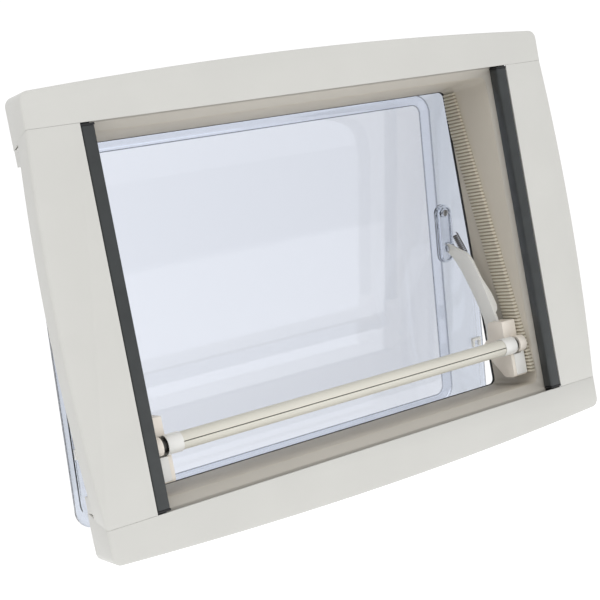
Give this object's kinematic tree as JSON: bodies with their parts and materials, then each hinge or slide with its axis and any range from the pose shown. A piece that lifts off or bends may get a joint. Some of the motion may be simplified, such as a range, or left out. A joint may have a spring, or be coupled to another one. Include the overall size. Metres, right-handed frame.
{
  "type": "hinged roof window sash with crossbar operator",
  "caption": "Top-hung clear double-skin roof window with a crossbar and toothed racks to set its opening, side blinds in cassettes, and a swollen-edged interior trim.",
  "frame": {"origin": "centre of the interior trim's front face, level with the side cassettes' seams' mid-height", "axes": "+X right as seen from the room, +Y from the room to the outside, +Z towards the hinge edge"},
  "size_m": [0.805, 0.2375, 0.576],
  "materials": {
    "trim_white": "satin off-white moulding",
    "liner_beige": "satin warm beige moulding",
    "frame_plastic": "matt",
    "seal_rubber": "matt black",
    "rail_grey": "satin dark grey aluminium",
    "shoe_black": "satin black",
    "blackout_fabric": "pleated, silver backed",
    "screen_fabric": "pleated fine mesh",
    "rack_cream": "satin cream moulding",
    "operator_white": "satin white moulding",
    "tube_aluminium": "drawn",
    "steel": "zinc plated",
    "spring_steel": "dark spring wire",
    "clear_acrylic": "clear, glossy, faint blue tint",
    "bracket_clear": "clear, glossy"
  },
  "bodies": {
    "frame": {"upper_trim": "trim_white", "lower_trim": "trim_white", "left_cassette_cover": "trim_white", "right_cassette_cover": "trim_white", "liner_ring": "liner_beige", "tub_frame": "liner_beige", "outer_frame": "frame_plastic", "frame_seal": "seal_rubber", "upper_blind_track": "rail_grey", "lower_blind_track": "rail_grey", "left_rack": "rack_cream", "right_rack": "rack_cream", "blackout_pleats": "blackout_fabric", "screen_pleats": "screen_fabric", "blackout_anchor": "rail_grey", "screen_anchor": "rail_grey", "hinge_rail_fixed": "trim_white", "hinge_pin": "steel", "clamp_plate_1": "steel", "clamp_screw_1": "steel", "clamp_plate_2": "steel", "clamp_screw_2": "steel", "clamp_plate_3": "steel", "clamp_screw_3": "steel", "clamp_plate_4": "steel", "clamp_screw_4": "steel"},
    "sash": {"outer_dome": "clear_acrylic", "inner_pane": "clear_acrylic", "hinge_rail_moving": "trim_white", "left_bracket": "bracket_clear", "left_bracket_screw": "steel", "left_bracket_pin": "steel", "left_spring": "spring_steel", "left_sash_keeper": "operator_white", "right_bracket": "bracket_clear", "right_bracket_screw": "steel", "right_bracket_pin": "steel", "right_spring": "spring_steel", "right_sash_keeper": "operator_white"},
    "left_arm": {"left_arm": "operator_white"},
    "right_arm": {"right_arm": "operator_white"},
    "crossbar": {"bar_tube": "tube_aluminium", "bar_shell_upper": "trim_white", "bar_shell_lower": "trim_white", "left_collar": "operator_white", "left_slider": "operator_white", "left_pivot_pin": "steel", "right_collar": "operator_white", "right_slider": "operator_white", "right_pivot_pin": "steel"},
    "left_button": {"left_button": "operator_white"},
    "right_button": {"right_button": "operator_white"},
    "left_pawl": {"left_pawl": "operator_white"},
    "right_pawl": {"right_pawl": "operator_white"},
    "blackout_blind": {"blackout_rail": "rail_grey", "blackout_upper_shoe": "shoe_black", "blackout_lower_shoe": "shoe_black"},
    "screen_blind": {"screen_rail": "rail_grey", "screen_upper_shoe": "shoe_black", "screen_lower_shoe": "shoe_black"}
  },
  "joints": [
    {"name": "sash_hinge", "type": "hinge", "parent": "frame", "child": "sash", "pos_m": [0, 0.127, 0.252], "axis": [1, 0, 0], "range_deg": [-8.5, 25]},
    {"name": "left_arm_swing", "type": "hinge", "parent": "sash", "child": "left_arm", "pos_m": [-0.288, 0.15, -0.013], "axis": [1, 0, 0], "range_deg": [-66, 23]},
    {"name": "right_arm_swing", "type": "hinge", "parent": "sash", "child": "right_arm", "pos_m": [0.288, 0.15, -0.013], "axis": [1, 0, 0], "range_deg": [-66, 23]},
    {"name": "crossbar_pivot", "type": "hinge", "parent": "left_arm", "child": "crossbar", "pos_m": [-0.288, 0.087, -0.17], "axis": [1, 0, 0], "range_deg": [-14, 41]},
    {"name": "left_button_press", "type": "slide", "parent": "crossbar", "child": "left_button", "axis": [0, 1, 0], "range_m": [0, 0.003], "stiffness_N_per_m": 800, "springref_m": -0.001},
    {"name": "right_button_press", "type": "slide", "parent": "crossbar", "child": "right_button", "axis": [0, 1, 0], "range_m": [0, 0.003], "stiffness_N_per_m": 800, "springref_m": -0.001},
    {"name": "left_pawl_slide", "type": "slide", "parent": "crossbar", "child": "left_pawl", "axis": [1, 0, 0], "range_m": [0, 0.003]},
    {"name": "right_pawl_slide", "type": "slide", "parent": "crossbar", "child": "right_pawl", "axis": [-1, 0, 0], "range_m": [0, 0.003]},
    {"name": "blackout_slide", "type": "slide", "parent": "frame", "child": "blackout_blind", "axis": [1, 0, 0], "range_m": [0, 0.307], "deforming": ["blackout_pleats"]},
    {"name": "screen_slide", "type": "slide", "parent": "frame", "child": "screen_blind", "axis": [-1, 0, 0], "range_m": [0, 0.307], "deforming": ["screen_pleats"]}
  ],
  "couplings": [
    {"joint": "left_arm_swing", "follows": "sash_hinge", "ratio": -2.62},
    {"joint": "right_arm_swing", "follows": "sash_hinge", "ratio": -2.62},
    {"joint": "crossbar_pivot", "follows": "sash_hinge", "ratio": 1.62},
    {"joint": "left_pawl_slide", "follows": "left_button_press", "ratio": 1},
    {"joint": "right_pawl_slide", "follows": "right_button_press", "ratio": 1}
  ]
}
